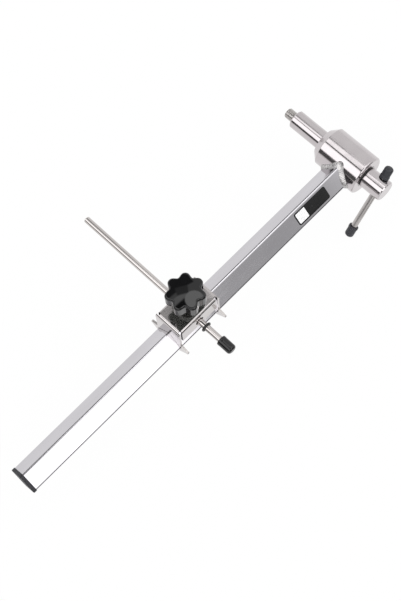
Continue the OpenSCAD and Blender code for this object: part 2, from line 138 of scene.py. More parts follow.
def roundedPath(corners, guard=0.08, arcStep=11):
    # Line through (a, b, radius) corners, each cut by an arc that touches both its sides, with a
    # point every arcStep degrees. A guard point just outside each end of the arc keeps the flats
    # beside it shading flat.
    places = np.array([corner[:2] for corner in corners], float)
    count = len(corners)
    parts = []
    for k, corner in enumerate(corners):
        place, radius = places[k], corner[2]
        if radius == 0:
            parts.append(place[None])
            continue
        before, after = places[k - 1] - place, places[(k + 1) % count] - place
        before, after = before / np.linalg.norm(before), after / np.linalg.norm(after)
        half = 0.5 * math.acos(np.clip(before @ after, -1, 1))
        reach, sweep = radius / math.tan(half), math.pi - 2 * half
        inward = (before + after) / np.linalg.norm(before + after)
        centre = place + inward * radius / math.sin(half)
        t = np.linspace(0, 1, max(3, round(sweep / math.radians(arcStep)) + 1))[:, None]
        start, end = place + before * reach - centre, place + after * reach - centre
        arc = (np.sin((1 - t) * sweep) * start + np.sin(t * sweep) * end) / math.sin(sweep)
        parts += [(place + before * (reach + guard))[None], centre + arc,
                  (place + after * (reach + guard))[None]]
    return np.concatenate(parts)


def acrossAxis(axis):
    # Two unit vectors square to an axis, so that turning from the first to the second is right-handed
    axis = np.array(axis, float)
    side = np.cross(axis, [1, 0, 0] if abs(axis[0]) < 0.9 else [0, 1, 0])
    side /= np.linalg.norm(side)
    return axis, side, np.cross(axis, side)


def turnedPoints(radius, station, angle, centre, axis):
    # Centre, plus station along the axis, plus radius at the angle round it
    axis, side, other = acrossAxis(axis)
    radius, station, angle = np.broadcast_arrays(radius, station, angle)
    return (np.array(centre, float) + station[..., None] * axis
            + (radius * np.cos(angle))[..., None] * side + (radius * np.sin(angle))[..., None] * other)


def turnedPiece(name, corners, centre, axis, material, body, nodes=(), segments=128,
                closed=False, sharpAngle=sharpEdge):
    # Profile of (radius, station, rounding) corners turned round an axis; it starts and ends on the
    # axis, or closes on itself
    path = roundedPath(corners)
    points = turnedPoints(path[:, :1], path[:, 1:], onceRound(segments)[None], centre, axis)
    quads = gridQuads(len(path), segments, closed, True)
    return makePiece(name, points, quads, material, body, nodes, sharpAngle)


# Flanks of a cut thread: stretched in depth, narrowed in width
threadForm = {"stretch": 1.35, "narrow": 1.15}


def grooveDepth(station, angle, thread):
    # Rounded V whose phase runs one pitch for each turn: the stretch times one less the narrowed
    # distance from the groove's middle, held between 0 and 1 and smoothed. It fades at both ends.
    phase = (station / thread["pitch"] - angle / (2 * math.pi)) % 1
    groove = np.clip(threadForm["stretch"] * (1 - np.abs(2 * phase - 1) * threadForm["narrow"]), 0, 1)
    groove = groove * groove * (3 - 2 * groove)
    fade = np.clip((station - thread["from"]) / thread["runOut"], 0, 1)
    fade *= np.clip((thread["to"] - station) / thread["runOut"], 0, 1)
    return thread["depth"] * groove * fade


def threadedPiece(name, corners, thread, centre, axis, material, body, nodes=(),
                  segments=72, perPitch=14):
    # Turned profile cut by the helix between the thread's ends, never deeper than its core
    path = roundedPath(corners)
    between = (path[:-1, 1] < thread["to"]) & (path[1:, 1] > thread["from"])
    steps = np.where(between, np.ceil(np.abs(np.diff(path[:, 1])) / thread["pitch"] * perPitch), 1)
    steps = np.maximum(steps, 1).astype(int)
    edge = np.repeat(np.arange(len(steps)), steps)
    along = (np.arange(len(edge)) - np.repeat(np.cumsum(steps) - steps, steps)) / steps[edge]
    rows = path[edge] + along[:, None] * (path[edge + 1] - path[edge])
    rows = np.concatenate([rows, path[-1:]])
    plain, station = rows[:, :1], rows[:, 1:]
    angle = onceRound(segments)[None]
    cut = np.maximum(plain - grooveDepth(station, angle, thread), thread["core"])
    radius = np.where(plain > thread["core"], cut, plain)
    points = turnedPoints(radius, station, angle, centre, axis)
    quads = gridQuads(len(rows), segments, False, True)
    return makePiece(name, points, quads, material, body, nodes, sharpAngle=40)


def diamondOutline(width, radius, arcSteps=8, sideSteps=14):
    # Square standing on a corner, as (y, z) points and their outward directions: an arc at each
    # corner, then cosine-spaced steps along the side, which crowd towards the arcs
    quarter = np.arange(4) * math.pi / 2
    corner = (width / 2 - radius) * math.sqrt(2) * np.stack([np.cos(quarter), np.sin(quarter)], -1)
    turn = quarter[:, None] + np.linspace(-0.25, 0.25, arcSteps + 1) * math.pi
    arcWay = np.stack([np.cos(turn), np.sin(turn)], -1)
    sideWay = np.stack([np.cos(quarter + math.pi / 4), np.sin(quarter + math.pi / 4)], -1)
    share = 0.5 - 0.5 * np.cos(np.arange(1, sideSteps) * math.pi / sideSteps)
    following = np.roll(corner, -1, 0)
    side = corner[:, None] + share[None, :, None] * (following - corner)[:, None]
    sideWays = np.broadcast_to(sideWay[:, None], side.shape)
    base = np.concatenate([np.broadcast_to(corner[:, None], arcWay.shape), side], 1).reshape(-1, 2)
    ways = np.concatenate([arcWay, sideWays], 1).reshape(-1, 2)
    return base + ways * radius, ways


# Degrees: triangles that meet flatter than the first merge, edges sharper than the second are broken
softening = {"flat": 1, "edge": 25}


def softenedCopy(name, node, edge, material, body):
    # Copy of a CAD node, its loose triangles merged into flats, its edges broken by a live bevel
    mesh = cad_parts[node].data.copy()
    work = bmesh.new()
    work.from_mesh(mesh)
    bmesh.ops.remove_doubles(work, verts=work.verts, dist=mergeWithin)
    bmesh.ops.dissolve_limit(work, angle_limit=math.radians(softening["flat"]), verts=work.verts,
                             edges=work.edges)
    work.to_mesh(mesh)
    work.free()
    piece = dressPiece(name, mesh, material, body, (node,), softening["edge"])
    bevel = piece.modifiers.new("broken edges", "BEVEL")
    bevel.width = edge["radius"] * metresPerMm
    bevel.segments = edge["steps"]
    bevel.limit_method = "ANGLE"
    bevel.angle_limit = math.radians(softening["edge"])
    bevel.harden_normals = True
    bevel.use_clamp_overlap = True
    return piece


# Materials

def linear(hexText):
    # sRGB hex to a linear colour
    channel = np.array([int(hexText[k:k + 2], 16) for k in (1, 3, 5)]) / 255
    channel = np.where(channel <= 0.04045, channel / 12.92, ((channel + 0.055) / 1.055) ** 2.4)
    return (*channel.tolist(), 1)


def addNode(tree, kind, settings=None, sockets=None):
    # A node with its settings; a socket takes a value, or the output that feeds it
    node = tree.nodes.new(kind)
    for key, value in (settings or {}).items():
        setattr(node, key, value)
    for key, value in (sockets or {}).items():
        if isinstance(value, bpy.types.NodeSocket):
            tree.links.new(value, node.inputs[key])
        else:
            node.inputs[key].default_value = value
    return node


def startMaterial(name, shader):
    # Material with a Principled shader, and the places of its points in the object's frame
    material = bpy.data.materials.new(name)
    material.use_nodes = True
    tree = material.node_tree
    tree.nodes.clear()
    body = addNode(tree, "ShaderNodeBsdfPrincipled", sockets=shader)
    addNode(tree, "ShaderNodeOutputMaterial", sockets={"Surface": body.outputs["BSDF"]})
    place = addNode(tree, "ShaderNodeTexCoord").outputs["Object"]
    return material, tree, body, place


def mathNode(tree, operation, *values):
    # Result of a Math node
    return addNode(tree, "ShaderNodeMath", {"operation": operation}, dict(enumerate(values))).outputs[0]


def vectorNode(tree, operation, output, *values):
    # Vector or Value of a Vector Math node
    node = addNode(tree, "ShaderNodeVectorMath", {"operation": operation}, dict(enumerate(values)))
    return node.outputs[output]


def patchNoise(tree, place, sizes, detail, roughness=0.5):
    # Noise whose grains have the given size in millimetres, or the given sizes along X, Y and Z
    scale = [1 / (size * metresPerMm) for size in np.broadcast_to(sizes, 3).tolist()]
    mapped = addNode(tree, "ShaderNodeMapping", sockets={"Vector": place, "Scale": scale})
    noise = addNode(tree, "ShaderNodeTexNoise", sockets={
        "Vector": mapped.outputs["Vector"], "Scale": 1.0, "Detail": detail, "Roughness": roughness})
    return noise.outputs["Fac"]


def spread(tree, value, low, high, fromLow=0.3, fromHigh=0.7):
    # Noise's middle range stretched between two values
    return addNode(tree, "ShaderNodeMapRange", sockets={
        "Value": value, "From Min": fromLow, "From Max": fromHigh,
        "To Min": low, "To Max": high}).outputs["Result"]


def bump(tree, height, depth, beneath=None):
    # Normal bent by a height, laid over the normal beneath it
    sockets = {"Height": height, "Strength": 1.0, "Distance": depth * metresPerMm}
    if beneath:
        sockets["Normal"] = beneath
    return addNode(tree, "ShaderNodeBump", sockets=sockets).outputs["Normal"]


def turnedPlace(tree, place, turned):
    # Place on a lathe, so that grain runs round: station along the axis, and distance from it, which
    # is the root of length squared less station squared
    centre = [c * metresPerMm for c in turned["centre"]]
    moved = vectorNode(tree, "SUBTRACT", "Vector", place, centre)
    station = vectorNode(tree, "DOT_PRODUCT", "Value", moved, turned["axis"])
    length = vectorNode(tree, "LENGTH", "Value", moved)
    square, along = (mathNode(tree, "MULTIPLY", value, value) for value in (length, station))
    radius = mathNode(tree, "SQRT", mathNode(tree, "SUBTRACT", square, along))
    return addNode(tree, "ShaderNodeCombineXYZ", sockets={"X": radius, "Y": station}).outputs["Vector"]


def finish(name, shader, colours, patch, roughness, smudge, grain, grainRough, grainDepth, wave,
           waveDepth, turned=None):
    # Sizes in millimetres: two colours drift over patches, smudges wander through a roughness range,
    # a fine grain changes both roughness and bump, and a slow wave bends reflections
    material, tree, body, place = startMaterial(name, shader)
    drift = patchNoise(tree, place, patch, 3.0)
    low, high = (linear(colour) for colour in colours)
    blend = addNode(tree, "ShaderNodeMix", {"data_type": "RGBA"}, {
        "Factor": spread(tree, drift, 0, 1), 6: low, 7: high})
    tree.links.new(blend.outputs[2], body.inputs["Base Color"])
    fine = patchNoise(tree, turnedPlace(tree, place, turned) if turned else place, grain, 3.0, 0.6)
    wander = patchNoise(tree, place, smudge, 4.0, 0.6)
    rough = mathNode(tree, "ADD", spread(tree, fine, -grainRough, grainRough),
                     spread(tree, wander, *roughness))
    tree.links.new(rough, body.inputs["Roughness"])
    slow = patchNoise(tree, place, wave, 1.0)
    normal = bump(tree, slow, waveDepth, bump(tree, fine, grainDepth))
    tree.links.new(normal, body.inputs["Normal"])
    return material


headCentre, headAxis = (0, 0, 0), (0, 1, 0)
# The handle leans from upright (+Z) towards +X
handleLean = math.radians(36.5)
handleAxis = (round(math.sin(handleLean), 6), 0.0, round(math.cos(handleLean), 6))
armBox, barrelBox = nodeBox("arm_tube"), nodeBox("head_barrel")
armY = float(armBox[0][1] + armBox[1][1]) / 2
carriageX = float(sum(nodeBox("clamp_stud"))[0]) / 2
rodZ = float(sum(nodeBox("gauge_rod"))[2]) / 2

metal = {"Metallic": 1.0}
lathe = {"centre": headCentre, "axis": headAxis}

# Steel tube polished lengthways: cool grey mirror with faint long streaks
tubeSteel = finish(
    "polished tube steel", metal, colours=("#c7c5c9", "#cdcbcf"), patch=(60, 14, 14),
    roughness=(0.06, 0.10), smudge=(18, 9, 9), grain=(45, 0.6, 0.6), grainRough=0.01,
    grainDepth=0.0003, wave=(60, 14, 14), waveDepth=0.004)

# Stainless bar turned and polished on a lathe: warm mirror, its grain runs round the axis
turnedSteel = finish(
    "turned polished stainless", metal, colours=("#c3bdbf", "#c9c4c5"), patch=16,
    roughness=(0.09, 0.15), smudge=11, grain=(0.35, 0.35, 1), grainRough=0.02, grainDepth=0.0008,
    wave=14, waveDepth=0.003, turned=lathe)

# Cut thread: the same bar, hazier where the die tore its flanks
threadSteel = finish(
    "die-cut thread steel", metal, colours=("#c2bfbd", "#d0cdcb"), patch=3, roughness=(0.20, 0.32),
    smudge=4, grain=(0.3, 0.3, 1), grainRough=0.04, grainDepth=0.003, wave=5, waveDepth=0.004,
    turned=lathe)

# Drawn rod, bright from the die: nearly a mirror, with faint streaks along its length
rodSteel = finish(
    "bright drawn rod", metal, colours=("#c4bfbd", "#cdc8c6"), patch=(9, 30, 9),
    roughness=(0.04, 0.08), smudge=(8, 14, 8), grain=(0.4, 30, 0.4), grainRough=0.01,
    grainDepth=0.0003, wave=(10, 30, 10), waveDepth=0.003)

# Handle bar drawn the same way, duller from hands
handleSteel = finish(
    "handled drawn bar", metal, colours=("#b5b1af", "#bfbbb9"), patch=12, roughness=(0.20, 0.28),
    smudge=7, grain=(0.4, 30, 1), grainRough=0.03, grainDepth=0.001, wave=12, waveDepth=0.003,
    turned={"centre": (0, float(sum(nodeBox("handle_bar"))[1]) / 2, 0), "axis": handleAxis})

# Stainless sheet, laser cut, folded and buffed: warm mirror that waves a little near its folds
sheetSteel = finish(
    "buffed folded sheet", metal, colours=("#bfbab9", "#c8c4c4"), patch=22, roughness=(0.07, 0.12),
    smudge=12, grain=(0.4, 22, 22), grainRough=0.01, grainDepth=0.0002, wave=15, waveDepth=0.008)

# Milled block behind the folded sheet: plain machined steel
blockSteel = finish(
    "milled steel block", metal, colours=("#a8a4a1", "#b5b1ae"), patch=8, roughness=(0.22, 0.32),
    smudge=6, grain=(0.5, 8, 0.5), grainRough=0.04, grainDepth=0.004, wave=9, waveDepth=0.003)

# Zinc-plated screw: bluish, slightly hazy
screwSteel = finish(
    "zinc-plated screw", metal, colours=("#a9abad", "#bcbdc0"), patch=4, roughness=(0.20, 0.30),
    smudge=5, grain=0.4, grainRough=0.03, grainDepth=0.002, wave=6, waveDepth=0.003)

# Tungsten-arc weld, wire-brushed and buffed: bright crests, grey between the ripples
weldSteel = finish(
    "brushed arc weld", metal, colours=("#a09e9f", "#c9c7c6"), patch=3.5, roughness=(0.16, 0.34),
    smudge=3, grain=0.5, grainRough=0.03, grainDepth=0.006, wave=3, waveDepth=0.03)

# Steel-backed bush: plain grey, with the fine pores of its pressed edge
bushSteel = finish(
    "steel-backed bush", metal, colours=("#a5a3a2", "#b6b4b3"), patch=4, roughness=(0.22, 0.34),
    smudge=5, grain=0.35, grainRough=0.04, grainDepth=0.02, wave=6, waveDepth=0.005)

# Spring steel ring, black oxide: dark with worn edges
ringSteel = finish(
    "black oxide spring steel", metal, colours=("#3c3b3d", "#5a585a"), patch=3,
    roughness=(0.3, 0.42), smudge=4, grain=0.4, grainRough=0.05, grainDepth=0.004, wave=5,
    waveDepth=0.003)

# Brass shoe, turned: clean yellow, a little tarnished
shoeBrass = finish(
    "turned brass", metal, colours=("#b8934a", "#cfae66"), patch=3, roughness=(0.22, 0.34),
    smudge=4, grain=0.3, grainRough=0.04, grainDepth=0.003, wave=4, waveDepth=0.002)

# Nylon washer, black and waxy
washerNylon = finish(
    "black nylon", {"IOR": 1.53}, colours=("#101012", "#19191b"), patch=6, roughness=(0.38, 0.5),
    smudge=4, grain=0.4, grainRough=0.05, grainDepth=0.01, wave=6, waveDepth=0.005)

# Dipped vinyl caps: charcoal, matt, with the dip's faint pebble
capVinyl = finish(
    "dipped vinyl", {"IOR": 1.52}, colours=("#27282d", "#34353b"), patch=6, roughness=(0.42, 0.58),
    smudge=5, grain=0.6, grainRough=0.05, grainDepth=0.03, wave=5, waveDepth=0.03)

# The gauge rod's cap: deeper black and glossier than the handle's
glossVinyl = finish(
    "moulded gloss vinyl", {"IOR": 1.52}, colours=("#08080a", "#0f0f11"), patch=6,
    roughness=(0.05, 0.10), smudge=4, grain=0.8, grainRough=0.03, grainDepth=0.01, wave=5,
    waveDepth=0.03)

# Nitrile ring: black rubber with a soft bloom
ringRubber = finish(
    "nitrile rubber", {"IOR": 1.52}, colours=("#111112", "#1b1b1d"), patch=3, roughness=(0.36, 0.5),
    smudge=3, grain=0.4, grainRough=0.05, grainDepth=0.01, wave=4, waveDepth=0.01)

# Polyethylene end plug: charcoal, matt, a little uneven
plugPlastic = finish(
    "moulded polyethylene", {"IOR": 1.51}, colours=("#26262b", "#303035"), patch=7,
    roughness=(0.54, 0.64), smudge=5, grain=0.5, grainRough=0.03, grainDepth=0.005, wave=8,
    waveDepth=0.008)

# Phenolic star knob: hard gloss black with a slight orange peel
knobPhenolic = finish(
    "polished phenolic", {"IOR": 1.5}, colours=("#070708", "#0d0d0f"), patch=9,
    roughness=(0.03, 0.06), smudge=6, grain=0.9, grainRough=0.01, grainDepth=0.0008, wave=8,
    waveDepth=0.006)

# Its neck and underside stay as they left the mould: greyer, matt, not buffed
knobUnder = finish(
    "unbuffed phenolic", {"IOR": 1.5}, colours=("#4a4e4b", "#585c59"), patch=6,
    roughness=(0.5, 0.62), smudge=6, grain=0.6, grainRough=0.04, grainDepth=0.008, wave=9,
    waveDepth=0.01)

# Printed film: near-black ink with the gloss of its clear face
labelInk = finish(
    "printed film", {"IOR": 1.46}, colours=("#060608", "#0a0a0c"), patch=5, roughness=(0.16, 0.24),
    smudge=4, grain=0.6, grainRough=0.02, grainDepth=0.001, wave=9, waveDepth=0.006)

# The white ink of its block, a little duller than the film
labelWhite = finish(
    "white printed block", {"IOR": 1.46}, colours=("#f6f6f7", "#fcfcfd"), patch=4,
    roughness=(0.26, 0.36), smudge=4, grain=0.6, grainRough=0.02, grainDepth=0.0005, wave=9,
    waveDepth=0.002)

# Inner faces of the folded sheet painted near black: painted shade for the dark inside of the carriage, not
# a finish the sheet has
paintedShadeSteel = finish(
    "painted shade of inner faces", metal, colours=("#1d1c1c", "#2c2a29"), patch=7, roughness=(0.36, 0.5),
    smudge=6, grain=0.6, grainRough=0.05, grainDepth=0.006, wave=12, waveDepth=0.004)

# Laser-cut rims of the sheet: pale and matt, left as cut
cutSteel = finish(
    "laser-cut rim", metal, colours=("#c6c2c0", "#d2cecc"), patch=6, roughness=(0.42, 0.52),
    smudge=5, grain=0.5, grainRough=0.04, grainDepth=0.004, wave=9, waveDepth=0.003)
print("materials made")


# Arm

arm = {"width": 20.0, "wall": 1.5, "corner": 2.0, "innerCorner": 0.5, "stations": 60}
barrelRadius = float(barrelBox[1][0] - barrelBox[0][0]) / 2


def makeArmTube():
    # Outer outline carried from the open end to the cope, then the inner one back: at the cope each
    # point stops on the barrel's round wall, at minus the root of radius squared less height squared
    outer = diamondOutline(arm["width"], arm["corner"])[0]
    inner = diamondOutline(arm["width"] - 2 * arm["wall"], arm["innerCorner"])[0]
    share = np.linspace(0, 1, arm["stations"])[:, None]
    low = armBox[0][0]
    rows = []
    for outline, run in ((outer, share), (inner, share[::-1])):
        mouth = -np.sqrt(barrelRadius ** 2 - outline[:, 1] ** 2)[None]
        x = low + run * (mouth - low)
        y = np.broadcast_to(armY + outline[:, 0], x.shape)
        z = np.broadcast_to(outline[:, 1], x.shape)
        rows.append(np.stack([x, y, z], -1))
    points = np.concatenate(rows)
    quads = gridQuads(*points.shape[:2], True, True)
    return makePiece("arm_tube_polished", points, quads, tubeSteel, "arm", ("arm_tube",))


endCap = {"flange": 3.4, "proud": 0.5, "edge": 0.8, "seatRound": 0.3, "apex": 0.02, "plug": 14.0,
          "plugWall": 1.6, "plugSlack": 1.2, "ribs": 4, "ribWide": 1.0, "ribClimb": 0.3, "ribFall": 0.1,
          "firstRib": 1.5, "ribSlack": 0.1}


def makeEndCap():
    # Profile of (station, width) corners, each carried round the diamond: domed flange outside,
    # ribbed hollow plug inside the tube
    mouth = armBox[0][0]
    bore = arm["width"] - 2 * arm["wall"]
    flange, plug = arm["width"] + 2 * endCap["proud"], bore - endCap["plugSlack"]
    outerFace = mouth - endCap["flange"]
    corners = [(outerFace, endCap["apex"], 0), (outerFace, flange, endCap["edge"]),
               (mouth, flange, endCap["seatRound"]), (mouth, plug, 0)]
    pitch = (endCap["plug"] - endCap["firstRib"]) / endCap["ribs"]
    crest = bore - endCap["ribSlack"]
    for k in range(endCap["ribs"]):
        start = mouth + endCap["firstRib"] + k * pitch
        end = start + endCap["ribWide"]
        corners += [(start, plug, 0), (start + endCap["ribClimb"], crest, 0), (end, crest, 0),
                    (end + endCap["ribFall"], plug, 0)]
    hollow, deep = plug - 2 * endCap["plugWall"], mouth + endCap["plug"]
    corners += [(deep, plug, 0), (deep, hollow, 0), (mouth, hollow, 0), (mouth, endCap["apex"], 0)]
    path = roundedPath(corners)
    full = diamondOutline(flange, arm["corner"] + endCap["proud"])[0]
    points = np.empty((len(path), len(full), 3))
    points[..., 0] = path[:, :1]
    scale = path[:, 1:] / flange
    points[..., 1] = armY + full[None, :, 0] * scale
    points[..., 2] = full[None, :, 1] * scale
    quads = gridQuads(len(path), len(full), False, True)
    return makePiece("arm_end_cap_moulded", points, quads, plugPlastic, "arm", ("arm_end_cap",),
                     sharpAngle=30)


# Head

barrel = {"rearEdge": 1.8, "coneLength": 6.8, "coneDrop": 6.3, "recessDepth": 2.4, "recessRadius": 11.65,
          "boreRadius": 10.9, "breakEdge": 0.35}


def makeBarrel():
    rear, front = barrelBox[0][1], barrelBox[1][1]
    edge, bore = barrel["breakEdge"], barrel["boreRadius"]
    shoulder = front - barrel["coneLength"]
    tip = barrelRadius - barrel["coneDrop"]
    recess, seat = barrel["recessRadius"], front - barrel["recessDepth"]
    corners = [(bore, rear, edge), (barrelRadius, rear, barrel["rearEdge"]), (barrelRadius, shoulder, edge),
               (tip, front, edge), (recess, front, edge), (recess, seat, 0), (bore, seat, 0)]
    return turnedPiece("head_barrel_turned", corners, headCentre, headAxis, turnedSteel, "arm",
                       ("head_barrel",), segments=192, closed=True)


# Waves round the bead are (height, count round the joint, phase)
weld = {"leg": 3.2, "belly": 1.725, "seat": 0.1, "around": 1100, "across": 14, "outlineSteps": (40, 80),
        "ripple": 1.6, "rise": 0.15, "riseShare": 0.7, "crescent": 0.7, "climb": 0.8, "drop": 0.2,
        "rippleWaves": ((0.25, 3, 0.7), (0.2, 7, 2.1)),
        "legMean": 0.93, "legWaves": ((0.05, 5, 1.0), (0.03, 11, 0.0))}


def makeWeldBead():
    # Fillet whose face is a flattened quarter curve between tube and barrel: cosine and sine of the
    # share across, raised to a power. Each ripple is a crescent that climbs slowly and drops fast.
    base, ways = diamondOutline(arm["width"], arm["corner"], *weld["outlineSteps"])
    sides = np.linalg.norm(np.diff(base, axis=0, append=base[:1]), axis=1)
    reach = np.concatenate([[0], np.cumsum(sides)])
    total = reach[-1]
    at = np.arange(weld["around"]) / weld["around"] * total
    closedBase, closedWays = (np.concatenate([a, a[:1]]) for a in (base, ways))
    y, z = (np.interp(at, reach, closedBase[:, k]) for k in (0, 1))
    ny, nz = (np.interp(at, reach, closedWays[:, k]) for k in (0, 1))
    across = np.linspace(0, 1, weld["across"])[:, None]
    ripples = round(total / weld["ripple"])
    turn = 2 * math.pi * at / total
    wander = sum(high * np.sin(count * turn + start) for high, count, start in weld["rippleWaves"])
    phase = (at / total * ripples + wander + weld["crescent"] * (2 * across - 1) ** 2) % 1
    climb = np.clip(phase / weld["climb"], 0, 1) - np.clip((phase - weld["climb"]) / weld["drop"], 0, 1)
    leg = weld["leg"] * sum((high * np.sin(count * turn + start) for high, count, start in weld["legWaves"]),
                            weld["legMean"])
    fade = np.sin(across * math.pi) ** 0.5
    rise = weld["rise"] * (climb - 0.5) * fade * weld["riseShare"]
    fromWall = leg * np.cos(across * math.pi / 2) ** weld["belly"] + rise
    fromTube = leg * np.sin(across * math.pi / 2) ** weld["belly"] + rise
    root = np.full((1, weld["around"]), -weld["seat"])
    fromWall, fromTube = np.concatenate([fromWall, root]), np.concatenate([fromTube, root])
    yOut, zOut = armY + y + ny * fromTube, z + nz * fromTube
    wall = -np.sqrt(np.maximum(barrelRadius ** 2 - zOut ** 2, 1))
    points = np.stack([wall - fromWall, yOut, zOut], -1)
    quads = gridQuads(*points.shape[:2], True, True)
    return makePiece("weld_bead_rippled", points, quads, weldSteel, "arm", ("weld_bead",),
                     sharpAngle=180)


spindleBox = nodeBox("spindle")
spindle = {"shaft": 8.85, "hub": 10.05, "chamfer": 1.1, "hubLength": 21.8, "grooveRadius": 8.15,
           "grooveFront": -35.3, "grooveWidth": 1.2, "crossHole": 3.05, "holeRim": 3.55,
           "holeOver": 3, "break": 0.15, "handleInset": 8.0}
hangerThread = {"radius": 5.0, "depth": 0.61, "core": 2.0, "pitch": 1.0, "from": -0.4, "to": 9.9,
                "runOut": 0.5, "chamfer": 0.9, "round": 0.1, "start": -0.2}
handleY = float(spindleBox[0][1]) + spindle["handleInset"]


def cutBy(piece, cutter):
    # The cutter's solid is taken out of the piece's mesh, and the cutter is thrown away
    cut = piece.modifiers.new("cross hole", "BOOLEAN")
    cut.operation = "DIFFERENCE"
    cut.solver = "EXACT"
    cut.object = cutter
    bpy.context.view_layer.update()
    result = bpy.data.meshes.new_from_object(piece.evaluated_get(bpy.context.evaluated_depsgraph_get()))
    piece.modifiers.remove(cut)
    piece.data = result
    bpy.data.objects.remove(cutter)


def makeSpindle():
    end, tip = spindleBox[0][1], spindleBox[1][1]
    shaft, hub, chamfer, soft = spindle["shaft"], spindle["hub"], spindle["chamfer"], spindle["break"]
    hubFront = end + spindle["hubLength"]
    groove, deep = spindle["grooveFront"], spindle["grooveRadius"]
    grooveBack = groove - spindle["grooveWidth"]
    corners = [(0, end, 0), (hub - chamfer, end, soft), (hub, end + chamfer, soft),
               (hub, hubFront - chamfer / 2, soft), (hub - chamfer / 2, hubFront, soft),
               (shaft, hubFront, 0), (shaft, grooveBack, 0), (deep, grooveBack, 0), (deep, groove, 0),
               (shaft, groove, 0), (shaft, -chamfer, soft), (shaft - chamfer, 0, soft), (0, 0, 0)]
    piece = turnedPiece("spindle_turned", corners, headCentre, headAxis, turnedSteel, "spindle",
                        ("spindle",), segments=192)
    hole, rim = spindle["crossHole"], spindle["holeRim"]
    edge = math.sqrt(hub ** 2 - hole ** 2)
    out = hub + spindle["holeOver"]
    flare = rim + (out - edge)
    cutter = turnedPiece("cross_hole", [
        (0, -out, 0), (flare, -out, 0), (hole, -edge, 0), (hole, edge, 0), (flare, out, 0), (0, out, 0)],
        (0, handleY, 0), handleAxis, turnedSteel, "spindle", segments=64)
    cutBy(piece, cutter)
    piece.data.set_sharp_from_angle(angle=math.radians(sharpEdge))
    thread = hangerThread
    radius, chamfer, start, soft = (thread[key] for key in ("radius", "chamfer", "start", "round"))
    threadedPiece("hanger_thread", [
        (0, start, 0), (radius, start, 0), (radius, tip - chamfer, soft), (radius - chamfer, tip, soft),
        (0, tip, 0)], thread, headCentre, headAxis, threadSteel, "spindle", ())


# Handle

handle = {"barRadius": 3.0, "barLow": -57.85, "barHigh": 20.05, "chamfer": 0.6, "break": 0.1,
          "capAcross": 9.2, "capLength": 11.7, "capLow": -59.9, "capHigh": 22.1}
pushCap = {"wallDrop": 0.35, "slimDrop": 0.12, "endRound": 0.26, "collar": 2.4, "collarRound": 0.55,
           "neck": 0.5, "neckRound": 0.4, "lip": 0.1, "lipRound": 0.35, "slack": 0.05, "mouthRound": 0.3,
           "closedEnd": 2.0}


def barCorners(radius, low, high, chamfer, soft):
    # Plain bar with chamfered ends, the chamfers' edges softened
    return [(0, low, 0), (radius - chamfer, low, soft), (radius, low + chamfer, soft),
            (radius, high - chamfer, soft), (radius - chamfer, high, soft), (0, high, 0)]


def capCorners(od, length, barRadius, drop):
    # Moulded cap from its closed end at 0 to its mouth: rounded end, plain body, beaded collar, blind hole
    body, bore = od / 2 - drop, barRadius + pushCap["slack"]
    collar, hole = length - pushCap["collar"], pushCap["closedEnd"]
    return [(0, 0, 0), (body, 0, od * pushCap["endRound"]),
            (body, collar - pushCap["neck"], pushCap["neckRound"]),
            (od / 2, collar + pushCap["lip"], pushCap["lipRound"]), (od / 2, length, pushCap["collarRound"]),
            (bore, length, pushCap["mouthRound"]), (bore, hole, 0), (0, hole, 0)]


def makeHandle():
    radius, centre = handle["barRadius"], (0, handleY, 0)
    bar = barCorners(radius, handle["barLow"], handle["barHigh"], handle["chamfer"], handle["break"])
    turnedPiece("handle_bar_drawn", bar, centre, handleAxis, handleSteel, "handle", ("handle_bar",),
                segments=96)
    cap = capCorners(handle["capAcross"], handle["capLength"], radius, pushCap["wallDrop"])
    away = tuple(-c for c in handleAxis)
    for node, end, way in (("handle_cap_upper", handle["capHigh"], away),
                           ("handle_cap_lower", handle["capLow"], handleAxis)):
        start = np.array(centre) + end * np.array(handleAxis)
        turnedPiece(node + "_vinyl", cap, start, way, capVinyl, "handle", (node,),
                    segments=96, sharpAngle=50)


# Carriage

sheetEdge = {"radius": 0.22, "steps": 3}
blockEdge = {"radius": 0.3, "steps": 3}
# Room inside the folded sheet, measured from a point low in its middle; its inner faces are painted dark as
# shade.
# A slope is the most that a face's normal has along Z (relief) or along X (cut).
inside = {"eye": 12.0, "halfLength": 21.5, "halfWidth": 12.2, "height": 18.6,
          "reliefLow": (19.4, 10.5), "reliefHigh": (23.6, 13.7), "reliefSlope": 0.6,
          "cutBelow": 0.0, "cutSlope": 0.3}


def makeCarriage():
    plate = softenedCopy("carriage_plate_folded", "carriage_plate", sheetEdge, sheetSteel, "carriage")
    # A face of the top or the sides is an inner one, painted dark as shade, where it lies within the
    # sheet and looks inwards
    middles, ways = faceTable(plate)
    off = middles - (carriageX, armY, inside["eye"])
    paintedShadeFaces = (np.abs(off[:, 0]) < inside["halfLength"]) & (np.abs(off[:, 1]) < inside["halfWidth"])
    paintedShadeFaces &= (off[:, 2] < inside["height"]) & (off[:, 2] > 0) & (np.sum(off * ways, 1) < 0)
    # The upright walls of the corner reliefs get the painted shade too
    across = np.abs(off[:, :2])
    relief = ((across > inside["reliefLow"]) & (across < inside["reliefHigh"])).all(1)
    paintedShadeFaces |= relief & (np.abs(ways[:, 2]) < inside["reliefSlope"])
    # Inner faces and relief walls take the near-black painted shade
    addFinish(plate, paintedShadeSteel, paintedShadeFaces)
    # Low faces that don't look along the arm are the laser-cut rims of the end plates and their ears
    addFinish(plate, cutSteel, (off[:, 2] < inside["cutBelow"]) & (np.abs(ways[:, 0]) < inside["cutSlope"]))
    softenedCopy("rod_guide_milled", "rod_guide_block", blockEdge, blockSteel, "carriage")


# Gauge rod

rodBox, rodCapBox, markerBox = nodeBox("gauge_rod"), nodeBox("gauge_rod_cap"), nodeBox("marker_ring")
rodEnd = {"chamfer": 0.7, "break": 0.1}
marker = {"rows": 48, "columns": 144, "flash": 0.02, "flashWide": 0.12}


